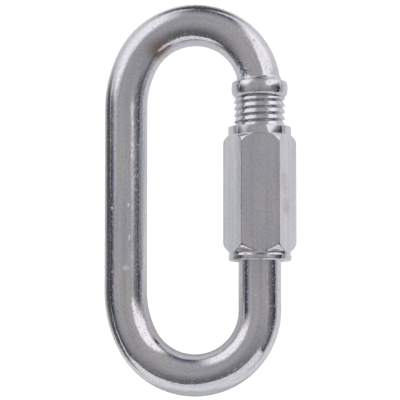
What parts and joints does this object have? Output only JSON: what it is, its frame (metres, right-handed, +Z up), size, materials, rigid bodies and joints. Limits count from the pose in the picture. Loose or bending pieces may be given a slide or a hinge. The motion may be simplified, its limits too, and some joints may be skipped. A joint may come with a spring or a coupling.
{
  "type": "chain quick link",
  "caption": "Oval steel quick link bent from round rod, with a threaded gate beside a stop collar, closed by a long hexagon sleeve nut that screws along it.",
  "frame": {"origin": "centre of the footprint, on the surface that the link lies on", "axes": "+Y along the legs towards the stop collar, +X towards the sleeve nut, +Z up from the surface"},
  "size_m": [0.036, 0.0738, 0.012],
  "materials": {
    "plated_rod": "bright zinc plating",
    "plated_nut": "bright zinc plating"
  },
  "bodies": {
    "link": {"link_body": "plated_rod"},
    "nut": {"sleeve_nut": "plated_nut"}
  },
  "joints": [
    {"name": "nut_travel", "type": "slide", "parent": "link", "child": "nut", "axis": [0, 1, 0], "range_m": [-0.0115, 0.0059]}
  ]
}
